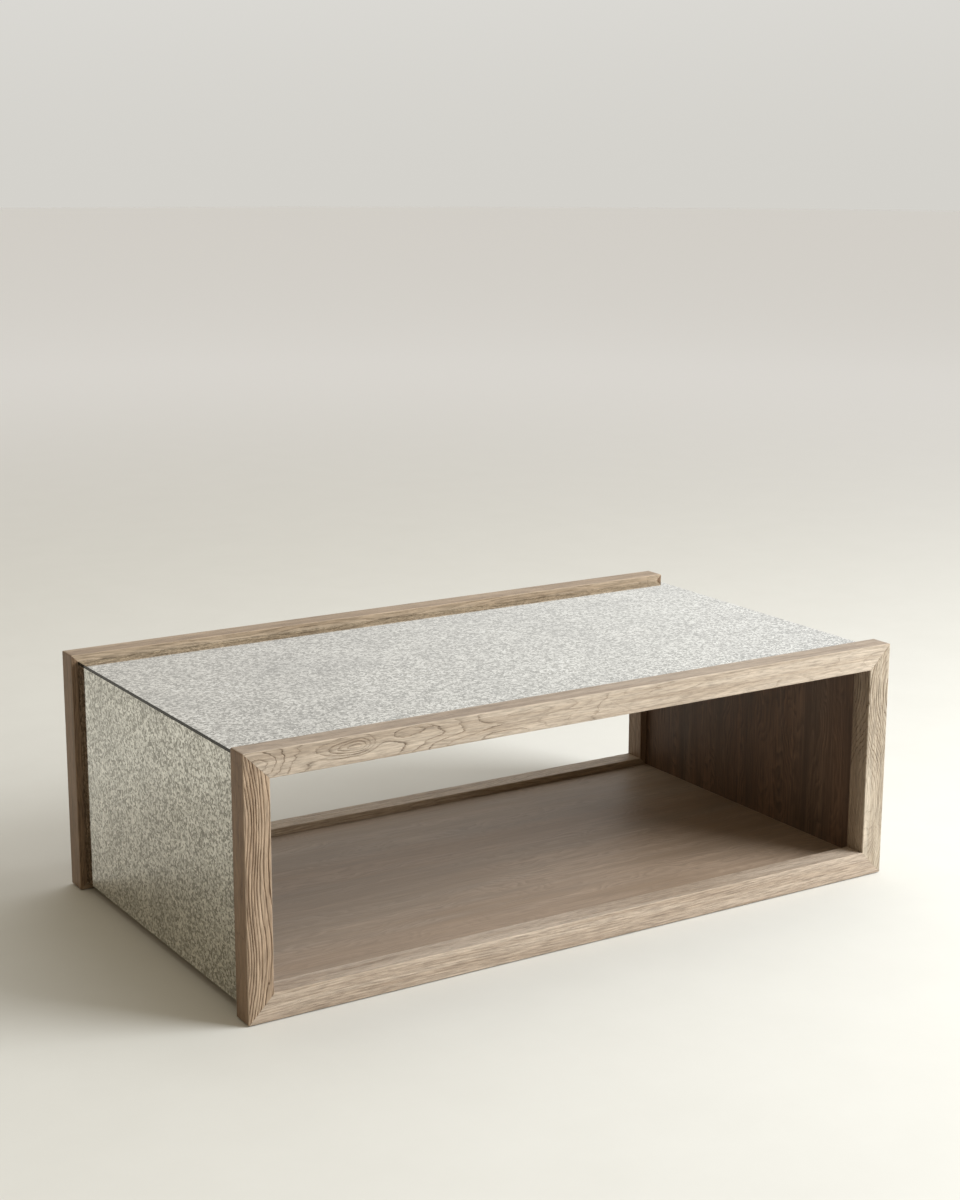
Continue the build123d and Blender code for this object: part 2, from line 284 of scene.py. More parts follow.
def beyond_core(inward, depth):
    """How far each place lies outside the rectangle through the arrises' centres, inward and in depth."""
    centre = np.array([[MEMBER_WIDTH / 2], [MEMBER_DEPTH / 2]])
    half = centre - ARRIS_RADIUS
    from_centre = np.stack([inward, depth]) - centre
    return from_centre - np.clip(from_centre, -half, half)


def round_outer_corners(along, inward, low, high):
    """Brings places near the frame's two outer corners onto their round."""
    for end, sign in ((low, 1), (high, -1)):
        reach = CORNER_RADIUS - sign * (along - end)
        rise = CORNER_RADIUS - inward
        far = np.hypot(reach, rise)
        outside = (reach > 0) & (rise > 0) & (far > CORNER_RADIUS)
        pull = np.where(outside, CORNER_RADIUS / np.maximum(far, 1e-9), 1.0)
        along = np.where(outside, end + sign * (CORNER_RADIUS - reach * pull), along)
        inward = np.where(outside, CORNER_RADIUS - rise * pull, inward)
    return along, inward


# How much painted shade, standing in for the shade of the table's body, the sides of a member carry over
# the base amount; a negative amount paints a side lighter. The frame's face carries none. The mitres
# carry a dark joint line.
PAINTED_SHADE_BASE = 0.20
STILE_PAINTED_SHADE = dict(inner=0.45, outer=0.60, hidden=0.60)
RAIL_PAINTED_SHADE = dict(inner=-0.20, outer=0.32, hidden=-0.20)
MITRE_GLAZE = 0.40


def painted_shade_amount(node, inward, depth, at_mitre):
    """How much painted shade each place carries: darker on a member's sides, where the table shades them,
    than on its face, with a dark joint line at the mitres. A member's face is the side away from the box
    and its hidden side is opposite. Its inner side is in the frame's opening, its outer side round it."""
    levels = STILE_PAINTED_SHADE if node.endswith("stile") else RAIL_PAINTED_SHADE
    from_face = depth if node.startswith("front") else MEMBER_DEPTH - depth
    painted_shade_and_joint = PAINTED_SHADE_BASE + levels["inner"] * smooth_step(inward / MEMBER_WIDTH, 0.90, 1.0)
    painted_shade_and_joint += levels["outer"] * smooth_step(inward / MEMBER_WIDTH, 0.08, 0.0)
    painted_shade_and_joint += levels["hidden"] * smooth_step(from_face / MEMBER_DEPTH, 0.90, 1.0)
    painted_shade_and_joint *= 1 - smooth_step(from_face / MEMBER_DEPTH, 0.10, 0.0)
    return painted_shade_and_joint + np.where(at_mitre, MITRE_GLAZE, 0.0)


def wear(inward, depth):
    """How much of the finish is rubbed off, from 1 on an arris to 0 at WORN_REACH from it."""
    across = np.minimum(np.abs(inward), np.abs(MEMBER_WIDTH - inward))
    back = np.minimum(np.abs(depth), np.abs(MEMBER_DEPTH - depth))
    return 1 - np.clip(np.maximum(across, back) / WORN_REACH, 0, 1)


def bar_mesh(name, vertices):
    """A closed tube through the sections, capped at its mitres."""
    index = np.arange(len(vertices)).reshape(-1, len(SECTION))
    after = np.roll(index, -1, axis=1)
    sides = np.stack([index[:-1], after[:-1], after[1:], index[1:]], axis=-1).reshape(-1, 4)
    caps = [index[0][::-1].tolist(), index[-1].tolist()]
    mesh = bpy.data.meshes.new(name)
    mesh.from_pydata(vertices.tolist(), [], sides.tolist() + caps)
    return mesh


def add_attributes(mesh, attributes):
    """Stores one number or one vector per point under each name."""
    for name, values in attributes.items():
        kind, field = ("FLOAT", "value") if values.ndim == 1 else ("FLOAT_VECTOR", "vector")
        attribute = mesh.attributes.new(name, kind, "POINT")
        attribute.data.foreach_set(field, values.ravel())


def finish_mesh(mesh):
    """Outward faces, smooth except over sharp edges."""
    work = bmesh.new()
    work.from_mesh(mesh)
    bmesh.ops.recalc_face_normals(work, faces=work.faces)
    work.to_mesh(mesh)
    work.free()
    mesh.shade_smooth()
    mesh.set_sharp_from_angle(angle=radians(40))


def add_piece(mesh, materials):
    """Puts a mesh in the scene as a piece of the table."""
    piece = bpy.data.objects.new(mesh.name, mesh)
    bpy.context.scene.collection.objects.link(piece)
    for material in materials:
        mesh.materials.append(material)
    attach(piece, "root")
    return piece


def oak_member(node, place_of, low, high, oak):
    """One bar that stands for a CAD frame member. place_of turns along, inward and depth into X, Y and Z;
    low and high are the member's two ends along its length, at its outer side."""
    figure = FIGURES[node]
    share, along, inward, depth = bar_places(figure, low, high)
    places = (along - low, inward, depth)
    at_mitre = (share == 0) | (share == 1)
    beyond = beyond_core(inward, depth)
    outward = beyond / np.maximum(np.linalg.norm(beyond, axis=0), 1e-9)

    rings = growth(figure, *places)
    widths = ring_widths(figure, rings, places, outward)
    bold = boldness(figure, along - low, inward)
    flatness = 1 - np.abs(beyond).min(axis=0) / (0.25 * ARRIS_RADIUS)
    sunk = GROOVE_DEPTH * bold * brushed(rings, widths) * np.clip(flatness, LEAST_BRUSHING, 1)
    sunk[at_mitre] += MITRE_GROOVE
    inward = inward - outward[0] * sunk
    depth = depth - outward[1] * sunk
    along, inward = round_outer_corners(along, inward, low, high)

    mesh = bar_mesh(node + "_oak", place_of(along, inward, depth))
    own_part_of_noise = np.array([0.0, 0.31, 0.17]) * (figure.seed - 10)
    add_attributes(mesh, {
        "growth": rings,
        "bold": bold,
        "ring_width": widths,
        "tone": np.tile(figure.tone, (len(rings), 1)),
        "grain": np.stack([along - low, inward, depth], axis=1) + own_part_of_noise,
        # painted shade on the members' shaded sides, and a dark line at the mitres
        "painted_shade_and_joint": painted_shade_amount(node, inward, depth, at_mitre),
        "worn": wear(inward, depth),
    })
    finish_mesh(mesh)
    piece = add_piece(mesh, [oak])
    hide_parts(node)


def frame_members(name, front_y, oak):
    """The four bars of one frame, whose front face lies at front_y."""
    def top_rail(along, inward, depth):
        return np.stack([along, front_y + depth, FRAME_TOP - inward], axis=1)

    def bottom_rail(along, inward, depth):
        return np.stack([along, front_y + depth, FRAME_BOTTOM + inward], axis=1)

    def left_stile(along, inward, depth):
        return np.stack([FRAME_LEFT + inward, front_y + depth, along], axis=1)

    def right_stile(along, inward, depth):
        return np.stack([FRAME_RIGHT - inward, front_y + depth, along], axis=1)

    oak_member(name + "_top_rail", top_rail, FRAME_LEFT, FRAME_RIGHT, oak)
    oak_member(name + "_bottom_rail", bottom_rail, FRAME_LEFT, FRAME_RIGHT, oak)
    oak_member(name + "_left_stile", left_stile, FRAME_BOTTOM, FRAME_TOP, oak)
    oak_member(name + "_right_stile", right_stile, FRAME_BOTTOM, FRAME_TOP, oak)


# ---------------------------------------------------------------------------------------------------
# Antiqued mirrors: panes with polished edges, ground arrises and painted backs
# ---------------------------------------------------------------------------------------------------

FLAT_ON = 0.95    # how nearly a face must look along the pane's axis to be its front or its back


def mirror_pane(node, axis, outward, materials):
    """One pane that stands for a CAD mirror. axis is the one it faces along and outward its direction.
    materials are those of its front, its edges and its back."""
    low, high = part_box(node)
    size = [high[i] - low[i] for i in range(3)]
    middle = [(high[i] + low[i]) / 2 for i in range(3)]
    work = bmesh.new()
    bmesh.ops.create_cube(work, size=1, matrix=Matrix.Translation(middle) @ Matrix.Diagonal((*size, 1)))
    bmesh.ops.bevel(
        work, geom=work.edges[:], offset=GLASS_ARRIS, segments=2, profile=0.5, affect="EDGES",
    )
    for face in work.faces:
        facing = face.normal[axis] * outward
        if facing > FLAT_ON:
            face.material_index = 0
        elif facing < -FLAT_ON:
            face.material_index = 2
        else:
            face.material_index = 1
    mesh = bpy.data.meshes.new(node + "_pane")
    work.to_mesh(mesh)
    work.free()
    piece = add_piece(mesh, materials)
    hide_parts(node)


# ---------------------------------------------------------------------------------------------------
# Nodes that the materials are made of
# ---------------------------------------------------------------------------------------------------

def start_material(name):
    """A new material, its node tree and its shader."""
    material = bpy.data.materials.new(name)
    material.use_nodes = True
    tree = material.node_tree
    return material, tree, tree.nodes["Principled BSDF"]


def feed(tree, node, inputs):
    """Fills a node's inputs. A socket is linked; any other value is set."""
    for key, value in inputs.items():
        if isinstance(value, bpy.types.NodeSocket):
            tree.links.new(value, node.inputs[key])
        else:
            node.inputs[key].default_value = value


def add(tree, kind, inputs, **settings):
    """Adds a node with its settings and inputs."""
    made = tree.nodes.new(kind)
    for name, value in settings.items():
        setattr(made, name, value)
    feed(tree, made, inputs)
    return made


def maths(tree, operation, first, second=0.0, clamp=False):
    """The result of a maths node."""
    inputs = {0: first, 1: second}
    return add(tree, "ShaderNodeMath", inputs, operation=operation, use_clamp=clamp).outputs[0]


def times(tree, first, second, clamp=False):
    """The product of two values."""
    return maths(tree, "MULTIPLY", first, second, clamp)


def vector_maths(tree, operation, first, second):
    """The vector that a vector maths node makes."""
    return add(tree, "ShaderNodeVectorMath", {0: first, 1: second}, operation=operation).outputs[0]


def part_of(tree, vector, axis):
    """One of a vector's three parts."""
    return add(tree, "ShaderNodeSeparateXYZ", {0: vector}).outputs[axis]


def object_place(tree):
    """Each place on the piece, in metres, in the table's own frame."""
    return add(tree, "ShaderNodeTexCoord", {}).outputs["Object"]


def noise(tree, place, per_metre, detail=3.0, roughness=0.55, distortion=0.0):
    """A noise value between 0 and 1. per_metre is how often it varies along each axis."""
    inputs = {
        "Vector": vector_maths(tree, "MULTIPLY", place, per_metre), "Scale": 1.0, "Detail": detail,
        "Roughness": roughness, "Distortion": distortion,
    }
    return add(tree, "ShaderNodeTexNoise", inputs).outputs["Fac"]


def remap(tree, value, low, high, to_low=0.0, to_high=1.0, smooth=True):
    """A value mapped from one range to another, and held inside it."""
    inputs = {"Value": value, "From Min": low, "From Max": high, "To Min": to_low, "To Max": to_high}
    kind = "SMOOTHSTEP" if smooth else "LINEAR"
    return add(tree, "ShaderNodeMapRange", inputs, interpolation_type=kind).outputs["Result"]


def opaque(colour):
    """A fixed colour with its alpha. A socket stays as it is."""
    return (*colour, 1) if isinstance(colour, tuple) else colour


def blend(tree, factor, first, second, mode="MIX"):
    """A colour mixed from two, each a socket or a fixed (red, green, blue)."""
    inputs = {0: factor, 6: opaque(first), 7: opaque(second)}
    return add(tree, "ShaderNodeMix", inputs, data_type="RGBA", blend_type=mode).outputs[2]


def tinted(tree, colour, tint):
    """A colour multiplied by another."""
    return blend(tree, 1.0, colour, tint, "MULTIPLY")


def grey(tree, value):
    """A colour whose three channels are one value."""
    return add(tree, "ShaderNodeCombineColor", {0: value, 1: value, 2: value}).outputs[0]


def ramp(tree, value, stops):
    """A colour that follows a value through (place, colour) stops."""
    made = add(tree, "ShaderNodeValToRGB", {0: value})
    elements = made.color_ramp.elements
    while len(elements) < len(stops):
        elements.new(0.5)
    for element, (place, colour) in zip(elements, stops):
        element.position = place
        element.color = opaque(colour)
    return made.outputs["Color"]


def grey_ramp(tree, value, stops):
    """A grey that follows a value through (place, level) stops."""
    return ramp(tree, value, [(place, (level, level, level)) for place, level in stops])


def bump(tree, height, distance, strength):
    """A surface normal tilted by a height."""
    inputs = {"Height": height, "Distance": distance, "Strength": strength}
    return add(tree, "ShaderNodeBump", inputs).outputs["Normal"]


def read(tree, name, output="Fac"):
    """A value stored on the mesh."""
    return add(tree, "ShaderNodeAttribute", {}, attribute_name=name).outputs[output]


# ---------------------------------------------------------------------------------------------------
# Solid oak
# ---------------------------------------------------------------------------------------------------

OAK_TONES = (0.365, 0.270, 0.188), (0.490, 0.382, 0.280)
OAK_GROOVE_STAIN_AND_SHADE = (0.140, 0.086, 0.048)
OAK_PORE = (0.12, 0.078, 0.048)
# the tint of the painted shade on shaded sides and of the dark mitre joints
OAK_SHADE_AND_JOINT_TINT = (0.46, 0.37, 0.30)
OAK_WORN = (0.52, 0.42, 0.31)
OAK_ROUGHNESS = (0.48, 0.85)     # on hard late wood, and in a groove
OAK_BUMP = 0.40 * MM
EARLY_WOOD_REACH = 10.0          # the millimetres from a ring's edge that the stops below span
EARLY_WOOD = [(0.0, 0.0), (0.04, 1.0), (0.13, 0.85), (0.24, 0.28), (0.50, 0.14), (1.0, 0.0)]


def oak_groove(tree, grain, fibres):
    """How dark and deep the soft wood of each growth ring is, broken up as brushing leaves it. Its
    darkness is stain in the grooves and also painted shade of the grooves' relief.
    """
    rings = read(tree, "growth")
    along = part_of(tree, grain, X)
    ring_place = add(tree, "ShaderNodeCombineXYZ", {0: times(tree, along, 7.0), 1: rings}).outputs[0]
    ring_tone = noise(tree, ring_place, (1, 2.3, 1), detail=3, roughness=0.6)
    patches = noise(tree, grain, (5, 22, 22), detail=2)
    breaks = noise(tree, grain, (20, 120, 120), detail=3, roughness=0.6)

    wobble = times(tree, maths(tree, "SUBTRACT", fibres, 0.5), 0.55)
    part = maths(tree, "FRACT", maths(tree, "ADD", rings, wobble))
    distance = times(tree, part, read(tree, "ring_width"))
    distance = maths(tree, "DIVIDE", distance, EARLY_WOOD_REACH, clamp=True)
    early = grey_ramp(tree, distance, EARLY_WOOD)
    strength = times(tree, read(tree, "bold"), remap(tree, ring_tone, 0.32, 0.66, 0.25, 1.0))
    strength = times(tree, strength, remap(tree, patches, 0.30, 0.66, 0.50, 1.0))
    strength = times(tree, strength, remap(tree, breaks, 0.34, 0.58, 0.40, 1.15))
    return times(tree, early, strength, clamp=True)


def oak_pores(tree, grain, groove):
    """Fine open pores, more of them in the soft wood."""
    pores = noise(tree, grain, (60, 1300, 1300), detail=2)
    return times(tree, remap(tree, pores, 0.60, 0.72), remap(tree, groove, 0.0, 0.5, 0.35, 1.0))


def oak_colour(tree, grain, fibres, groove, pores):
    """Streaked grey-brown wood, darker in its stained grooves, which also carry painted shade of their
    relief, and in its pores; darker still with painted shade on the members' shaded sides and at the dark
    mitre joints; paler where worn.
    """
    streaks = noise(tree, grain, (2.6, 70, 70), detail=3)
    flecks = noise(tree, grain, (34, 330, 330), detail=3, roughness=0.7)
    colour = blend(tree, remap(tree, streaks, 0.32, 0.68), *OAK_TONES)
    # the grooves' stain together with painted shade of their relief
    colour = blend(tree, times(tree, groove, 0.88), colour, OAK_GROOVE_STAIN_AND_SHADE)
    shade = remap(tree, fibres, 0.32, 0.68, 0.82, 1.13, smooth=False)
    shade = times(tree, shade, remap(tree, flecks, 0.30, 0.62, 0.73, 1.08))
    colour = tinted(tree, colour, grey(tree, shade))
    # each member's own colour, partly painted light: a painted sheen on the lit members, painted shade on
    # the left stile
    colour = tinted(tree, colour, read(tree, "tone", "Vector"))
    colour = blend(tree, times(tree, pores, 0.55), colour, OAK_PORE)
    # painted shade on the members' shaded sides, and a dark line at the mitres
    colour = blend(tree, read(tree, "painted_shade_and_joint"), colour, tinted(tree, colour, OAK_SHADE_AND_JOINT_TINT))
    return blend(tree, times(tree, read(tree, "worn"), 0.30), colour, OAK_WORN)


def oak_material():
    """Weathered, wire-brushed solid oak. It reads what oak_member stores on each bar."""
    material, tree, shader = start_material("weathered_oak")
    grain = read(tree, "grain", "Vector")
    fibres = noise(tree, grain, (14, 420, 420), detail=5, roughness=0.65)
    groove = oak_groove(tree, grain, fibres)
    pores = oak_pores(tree, grain, groove)
    relief = maths(tree, "SUBTRACT", times(tree, fibres, 0.5), pores)
    relief = maths(tree, "SUBTRACT", relief, times(tree, groove, 1.6))
    feed(tree, shader, {
        "Base Color": oak_colour(tree, grain, fibres, groove, pores),
        "Roughness": remap(tree, groove, 0, 1, *OAK_ROUGHNESS),
        "Normal": bump(tree, relief, OAK_BUMP, 0.8),
    })
    return material


# ---------------------------------------------------------------------------------------------------
# Oak veneer
# ---------------------------------------------------------------------------------------------------

# For each veneer: the axis of its grain, its pale and its dark tone, and how strongly its figure shows
SHELF_VENEER = dict(grain_axis=X, pale=(0.385, 0.300, 0.226), dark=(0.300, 0.229, 0.167), figure=0.46)
# The upright veneer is the same oak as the level one; its much darker tones are painted shade of the
# compartment's shaded end walls.
SHADED_END_VENEER = dict(grain_axis=Z, pale=(0.176, 0.112, 0.073), dark=(0.090, 0.057, 0.038), figure=0.78)
VENEER_ROUGHNESS = (0.42, 0.56)
VENEER_BUMP = 0.12 * MM
VENEER_LINES = 70.0              # grain lines in a metre of width
VENEER_EARLY_WOOD = [(0.0, 0.0), (0.20, 0.85), (0.38, 0.6), (0.80, 0.08), (1.0, 0.0)]
LINE_SHADE = 0.35                # how bright grain lines and pores are, next to the dark tone
WARM_TINT = (0.06, -0.04, -0.12)


def veneer_material(name, grain_axis, pale, dark, figure):
    """Smooth oak veneer."""
    material, tree, shader = start_material(name)
    place = object_place(tree)

    def grain_noise(along, wide, **settings):
        per_metre = tuple(along if axis == grain_axis else wide for axis in range(3))
        return noise(tree, place, per_metre, **settings)

    sway = grain_noise(3.0, 8.0, detail=3)
    fine = grain_noise(7, 420, detail=5, roughness=0.65)
    broad = grain_noise(2.2, 27, detail=4, distortion=0.7)
    breaks = grain_noise(9, 130, detail=3, roughness=0.6)
    hue = grain_noise(0.8, 13, detail=2)
    pores = remap(tree, grain_noise(60, 1300, detail=2), 0.60, 0.74)

    across = part_of(tree, place, Y)
    lines = maths(tree, "ADD", times(tree, across, VENEER_LINES), times(tree, sway, 22.0))
    part = maths(tree, "FRACT", maths(tree, "ADD", lines, times(tree, fine, 0.7)))
    groove = grey_ramp(tree, part, VENEER_EARLY_WOOD)
    groove = times(tree, groove, remap(tree, broad, 0.35, 0.65, 0.10, 1.0))
    groove = times(tree, groove, remap(tree, breaks, 0.36, 0.60, 0.25, 1.0))

    colour = blend(tree, remap(tree, broad, 0.3, 0.7), dark, pale)
    warm = tinted(tree, colour, tuple(1.0 + change * figure for change in WARM_TINT))
    colour = blend(tree, remap(tree, hue, 0.40, 0.60), colour, warm)
    tint = remap(tree, fine, 0.32, 0.68, 1 - 0.5 * figure, 1 + 0.4 * figure, smooth=False)
    colour = tinted(tree, colour, grey(tree, tint))
    shade = tuple(LINE_SHADE * level for level in dark)
    colour = blend(tree, times(tree, groove, figure), colour, shade)
    colour = blend(tree, times(tree, pores, 0.30), colour, shade)

    relief = maths(tree, "SUBTRACT", times(tree, fine, 0.4), pores)
    feed(tree, shader, {
        "Base Color": colour,
        "Roughness": remap(tree, fine, 0.3, 0.7, *VENEER_ROUGHNESS),
        "Specular IOR Level": 0.36,
        "Normal": bump(tree, relief, VENEER_BUMP, 0.5),
    })
    return material


# ---------------------------------------------------------------------------------------------------
# Mirror glass
# ---------------------------------------------------------------------------------------------------

FLAKES_PER_METRE = 250.0
FLAKE_DRIFT = (0.009, 0.009, 0.009)      # how far the flakes' outlines wander, in metres
FLAKE_SHARE = 0.45                       # the rest of the pattern is a finer mist
SILVER_TONES = (0.19, 0.181, 0.140), (1.0, 0.985, 0.905)
SILVER_ROUGHNESS = (0.04, 0.10)
SILVER_BUMP = 0.06 * MM
COAT_IOR = 1.5
EDGE_TONES = (0.008, 0.009, 0.007), (0.020, 0.021, 0.016)
EDGE_ROUGHNESS = (0.05, 0.14)
EDGE_IOR = 1.52


def mirror_flecks(tree, place):
    """The silvering's pattern: small flakes with ragged outlines, and a finer mist."""
    drift = add(tree, "ShaderNodeTexNoise", {"Vector": place, "Scale": 160.0, "Detail": 3.0})
    drift = vector_maths(tree, "MULTIPLY", drift.outputs["Color"], FLAKE_DRIFT)
    bent = vector_maths(tree, "ADD", place, drift)
    flakes = add(
        tree, "ShaderNodeTexVoronoi", {"Vector": bent, "Scale": FLAKES_PER_METRE, "Randomness": 1.0}
    )
    flake = add(tree, "ShaderNodeSeparateColor", {0: flakes.outputs["Color"]}).outputs[0]
    mist = noise(tree, place, (410, 410, 410), detail=3, roughness=0.7)
    return maths(tree, "ADD", times(tree, flake, FLAKE_SHARE), times(tree, mist, 1 - FLAKE_SHARE))


def antiqued_mirror_material():
    """Glass over silvering that has broken up into small bright and dull flecks."""
    material, tree, shader = start_material("antiqued_mirror")
    place = object_place(tree)
    flecks = mirror_flecks(tree, place)
    bright = remap(tree, flecks, 0.28, 0.76)
    cloud = remap(tree, noise(tree, place, (7, 7, 7), detail=3), 0.30, 0.70, 0.90, 1.08)
    feed(tree, shader, {
        "Base Color": tinted(tree, blend(tree, bright, *SILVER_TONES), grey(tree, cloud)),
        "Metallic": 1.0,
        "Roughness": remap(tree, bright, 0, 1, *SILVER_ROUGHNESS),
        "Coat Weight": 1.0,
        "Coat Roughness": 0.01,
        "Coat IOR": COAT_IOR,
        "Normal": bump(tree, flecks, SILVER_BUMP, 0.25),
    })
    return material


def glass_edge_material():
    """The polished edge of thick glass, which looks dark green because little light comes back out."""
    material, tree, shader = start_material("glass_edge")
    grind = noise(tree, object_place(tree), (140, 140, 900), detail=3)
    feed(tree, shader, {
        "Base Color": blend(tree, grind, *EDGE_TONES),
        "Roughness": remap(tree, grind, 0.3, 0.7, *EDGE_ROUGHNESS),
        "IOR": EDGE_IOR,
        "Specular IOR Level": 0.25,
    })
    return material


# ---------------------------------------------------------------------------------------------------
# Everything else that the table is made of
# ---------------------------------------------------------------------------------------------------

# For each: its two tones, how often its mottling varies in a metre along X, Y and Z, and its roughness
SPECKLED = {
    "mirror_back_paint": dict(
        tones=[(0.16, 0.17, 0.17), (0.22, 0.23, 0.23)], per_metre=(300, 300, 300), roughness=0.6
    ),
    "fibreboard": dict(
        tones=[(0.30, 0.20, 0.12), (0.40, 0.28, 0.17)], per_metre=(420, 420, 420), roughness=0.8
    ),
    "beech": dict(
        tones=[(0.52, 0.34, 0.19), (0.64, 0.45, 0.27)], per_metre=(700, 700, 60), roughness=0.55
    ),
    "planed_pine": dict(
        tones=[(0.50, 0.34, 0.18), (0.62, 0.46, 0.27)], per_metre=(10, 500, 500), roughness=0.6
    ),
    "cured_mastic": dict(
        tones=[(0.58, 0.55, 0.48), (0.68, 0.65, 0.58)], per_metre=(240, 240, 240), roughness=0.45
    ),
    "zinc_plate": dict(
        tones=[(0.52, 0.52, 0.53), (0.68, 0.68, 0.69)], per_metre=(900, 900, 900), roughness=0.32,
        metallic=1.0,
    ),
    "dark_nylon": dict(
        tones=[(0.022, 0.020, 0.018), (0.034, 0.031, 0.028)], per_metre=(600, 600, 600), roughness=0.5
    ),
}
GLOSS_VARIATION = 0.07
SPECKLE_BUMP = 0.1 * MM


def speckled_material(name, tones, per_metre, roughness, metallic=0.0):
    """A plain material with a fine mottled colour, an uneven gloss and a slight relief."""
    material, tree, shader = start_material(name)
    grains = noise(tree, object_place(tree), per_metre, detail=5, roughness=0.65)
    gloss = remap(tree, grains, 0.3, 0.7, roughness - GLOSS_VARIATION, roughness + GLOSS_VARIATION)
    feed(tree, shader, {
        "Base Color": blend(tree, grains, *tones),
        "Metallic": metallic,
        "Roughness": gloss,
        "Normal": bump(tree, grains, SPECKLE_BUMP, 0.6),
    })
    return material


def dress(material, *nodes):
    """Gives a material to CAD nodes that stay."""
    for node in nodes:
        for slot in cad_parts[node].material_slots:
            slot.material = material


# ---------------------------------------------------------------------------------------------------
# Stage: floor, backdrop, light and camera. Places are in metres and powers in watts.
# ---------------------------------------------------------------------------------------------------

STAGE_RADIUS = 30.0
STAGE_SIDES = 96
FLOOR_TONES = (0.620, 0.600, 0.550), (0.660, 0.640, 0.590)
FAR_FLOOR = (0.93, 0.925, 0.935)
NEAR_AND_FAR = (2.0, 9.0)        # how far out the floor starts to turn paler, and has its far tone
BACKDROP_TONES = (0.66, 0.645, 0.605), (0.78, 0.77, 0.74)
BACKDROP_HEIGHTS = (0.0, 8.0)    # where the backdrop has its first tone, and its second

KEY_COLOUR = (0.90, 0.95, 1.0)
SOFT_LIGHTS = {
    "window": dict(place=(3.68, -3.36, 2.85), target=(0.2, -0.1, 0.2), size=(3.2, 3.2), power=424),
    "high_window": dict(place=(1.6, -1.3, 2.2), target=(0.4, 0.0, 0.3), size=(1.6, 1.3), power=14),
    "overhead": dict(place=(0.6, 1.4, 3.2), target=(0.2, 0.5, 0.0), size=(2.4, 2.4), power=14),
}
EVEN_LIGHT = dict(strength=0.45, spread=radians(50), direction=(-0.56, 0.10, -0.77))

# The surroundings' colours, from opposite BRIGHT_SIDE (0) to along it (1)
BRIGHT_SIDE = (0.90, 0.30, 0.30)
SURROUNDINGS = [
    (0.0, (0.28, 0.230, 0.155)), (0.40, (0.41, 0.36, 0.275)), (0.62, (0.53, 0.490, 0.400)),
    (0.79, (0.68, 0.655, 0.60)), (0.86, (0.74, 0.725, 0.70)), (0.92, (0.95, 0.95, 0.93)),
    (1.0, (1.10, 1.12, 1.14)),
]

CAMERA_PLACE = (-2.0286, -3.2258, 1.4269)
CAMERA_TURN = radians(32.16)     # to the right
CAMERA_TILT = radians(13.0)      # down
CAMERA_ROLL = radians(0.17)
LENS = 63.1                      # in millimetres, as the sensor's height is
SENSOR_HEIGHT = 36.0
CLIP_END = 400.0


def floor_material():
    """A plain, matt floor, paler far away, where less light reaches it."""
    material, tree, shader = start_material("pale_floor")
    place = object_place(tree)
    grains = noise(tree, place, (6, 6, 6), detail=5, roughness=0.65)
    away = add(tree, "ShaderNodeVectorMath", {0: place}, operation="LENGTH").outputs["Value"]
    near = blend(tree, grains, *FLOOR_TONES)
    feed(tree, shader, {
        "Base Color": blend(tree, remap(tree, away, *NEAR_AND_FAR), near, FAR_FLOOR),
        "Roughness": 0.9,
        "Normal": bump(tree, grains, SPECKLE_BUMP, 0.6),
    })
    return material


def backdrop_material():
    """A plain, evenly lit pale wall."""
    material, tree, shader = start_material("pale_backdrop")
    height = part_of(tree, object_place(tree), Z)
    feed(tree, shader, {
        "Base Color": (0, 0, 0, 1),
        "Specular IOR Level": 0.0,
        "Emission Color": blend(tree, remap(tree, height, *BACKDROP_HEIGHTS), *BACKDROP_TONES),
        "Emission Strength": 1.0,
    })
    return material


def add_stage_piece(name, work, material):
    """Turns a mesh under construction into a piece of the stage."""
    mesh = bpy.data.meshes.new(name)
    work.to_mesh(mesh)
    work.free()
    mesh.materials.append(material)
    piece = bpy.data.objects.new(name, mesh)
    bpy.context.scene.collection.objects.link(piece)
    return piece


def add_floor():
    """A round floor."""
    work = bmesh.new()
    bmesh.ops.create_circle(work, cap_ends=True, segments=STAGE_SIDES, radius=STAGE_RADIUS)
    add_stage_piece("floor", work, floor_material())


def add_backdrop():
    """A wall round the floor. The table doesn't mirror it, and takes no light or shade from it."""
    work = bmesh.new()
    bmesh.ops.create_cone(
        work, segments=STAGE_SIDES, radius1=STAGE_RADIUS, radius2=STAGE_RADIUS, depth=2 * STAGE_RADIUS
    )
    backdrop = add_stage_piece("backdrop", work, backdrop_material())
    for rays in ("glossy", "diffuse", "shadow", "transmission", "volume_scatter"):
        setattr(backdrop, f"visible_{rays}", False)


def add_light(name, kind, strength, direction):
    """A light that shines along a direction, with its X level."""
    lamp = bpy.data.lights.new(name, kind)
    lamp.energy = strength
    lamp.color = KEY_COLOUR
    light = bpy.data.objects.new(name, lamp)
    light.rotation_euler = Vector(direction).to_track_quat("-Z", "Y").to_euler()
    bpy.context.scene.collection.objects.link(light)
    return light


def add_soft_light(name, place, target, size, power):
    """A large soft light at place, turned to target. Neither the camera nor the mirrors show it."""
    light = add_light(name, "AREA", power, np.array(target) - np.array(place))
    light.data.shape = "RECTANGLE"
    light.data.size, light.data.size_y = size
    light.location = place
    light.visible_camera = False
    light.visible_glossy = False


def add_even_light(strength, spread, direction):
    """A broad, even light from the right, so that the floor stays pale into the distance."""
    light = add_light("even_light", "SUN", strength, direction)
    light.data.angle = spread


def add_world():
    """Pale surroundings: cool and bright at the back right, warm and dim at the front left."""
    world = bpy.data.worlds.new("studio")
    bpy.context.scene.world = world
    world.use_nodes = True
    tree = world.node_tree
    direction = add(tree, "ShaderNodeTexCoord", {}).outputs["Generated"]
    facing = add(
        tree, "ShaderNodeVectorMath", {0: direction, 1: BRIGHT_SIDE}, operation="DOT_PRODUCT"
    ).outputs["Value"]
    colour = ramp(tree, remap(tree, facing, -1, 1, smooth=False), SURROUNDINGS)
    feed(tree, tree.nodes["Background"], {"Color": colour})


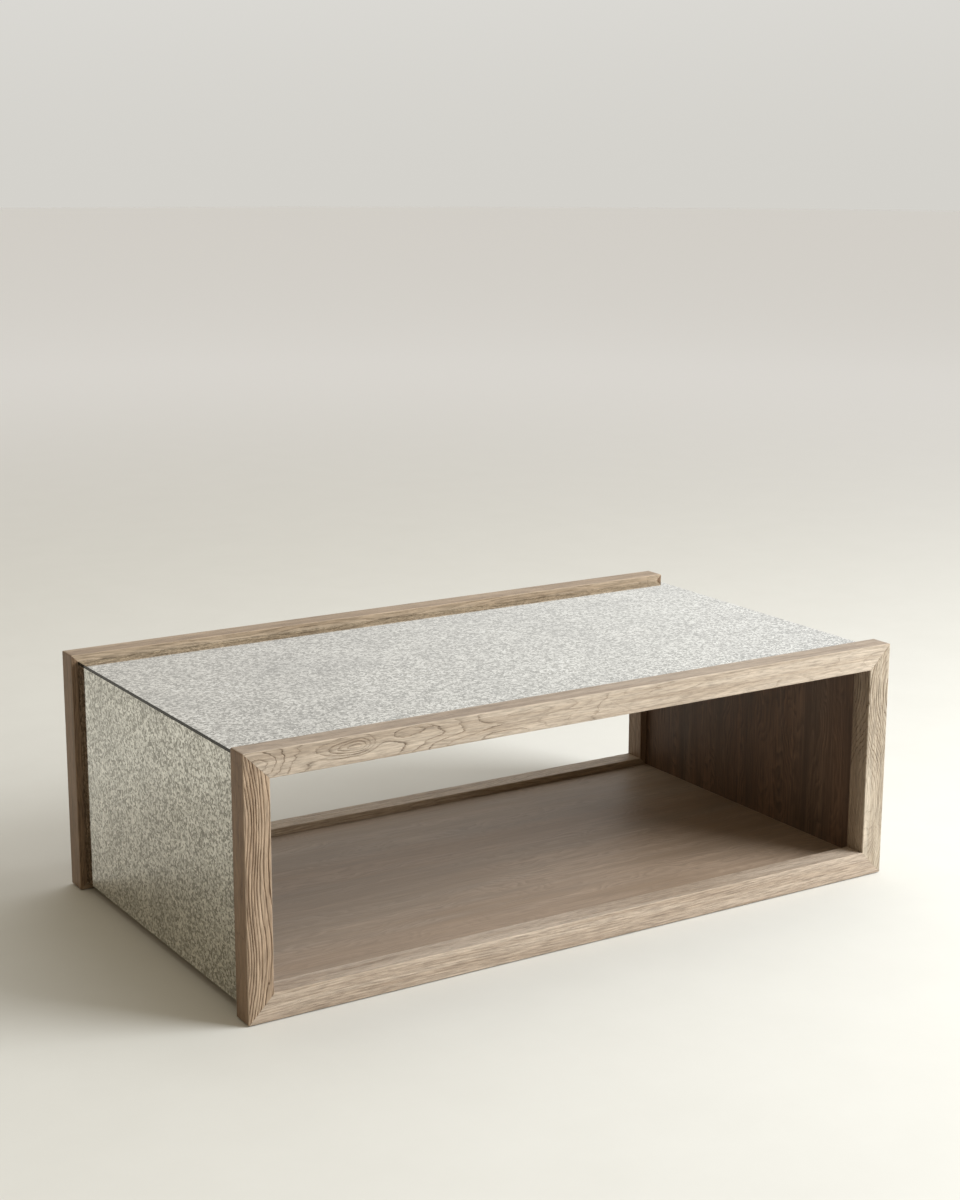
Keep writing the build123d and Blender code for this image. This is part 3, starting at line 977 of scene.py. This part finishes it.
def add_camera():
    """A camera at the front left, above the table, with a long lens."""
    data = bpy.data.cameras.new("camera")
    data.sensor_fit = "VERTICAL"
    data.sensor_height = SENSOR_HEIGHT
    data.lens = LENS
    data.clip_end = CLIP_END
    camera = bpy.data.objects.new("camera", data)
    camera.location = CAMERA_PLACE
    camera.rotation_euler = (
        Matrix.Rotation(-CAMERA_TURN, 3, "Z")
        @ Matrix.Rotation(radians(90) - CAMERA_TILT, 3, "X")
        @ Matrix.Rotation(CAMERA_ROLL, 3, "Z")
    ).to_euler()
    bpy.context.scene.collection.objects.link(camera)
    bpy.context.scene.camera = camera


# ---------------------------------------------------------------------------------------------------
# Putting it together
# ---------------------------------------------------------------------------------------------------

speckled = {name: speckled_material(name, **facts) for name, facts in SPECKLED.items()}
dress(veneer_material("oak_veneer_level", **SHELF_VENEER), "shelf_lining", "ceiling_lining")
# the end linings' veneer, darkened with painted shade
dress(veneer_material("oak_veneer_upright_painted_shade", **SHADED_END_VENEER), "left_end_lining", "right_end_lining")
dress(speckled["fibreboard"], "top_core", "left_end_core", "right_end_core", "shelf_core")
dress(speckled["beech"], "mitre_tenons", "panel_dowels", "carcass_dowels")
dress(speckled["planed_pine"], "front_shelf_cleat", "back_shelf_cleat")
dress(speckled["cured_mastic"], "top_mirror_mastic", "left_mirror_mastic", "right_mirror_mastic")
dress(speckled["zinc_plate"], "cleat_screws", "glide_nails")
dress(speckled["dark_nylon"], "floor_glides")

oak = oak_material()
frame_members("front", FRONT_FRAME_Y, oak)
frame_members("back", BACK_FRAME_Y, oak)

pane_materials = [antiqued_mirror_material(), glass_edge_material(), speckled["mirror_back_paint"]]
mirror_pane("top_mirror", Z, 1, pane_materials)
mirror_pane("left_end_mirror", X, -1, pane_materials)
mirror_pane("right_end_mirror", X, 1, pane_materials)

add_floor()
add_backdrop()
for light_name, light_facts in SOFT_LIGHTS.items():
    add_soft_light(light_name, **light_facts)
add_even_light(**EVEN_LIGHT)
add_world()
add_camera()

scene = bpy.context.scene
scene.view_settings.view_transform = "Standard"
scene.view_settings.look = "None"
scene.cycles.use_denoising = True
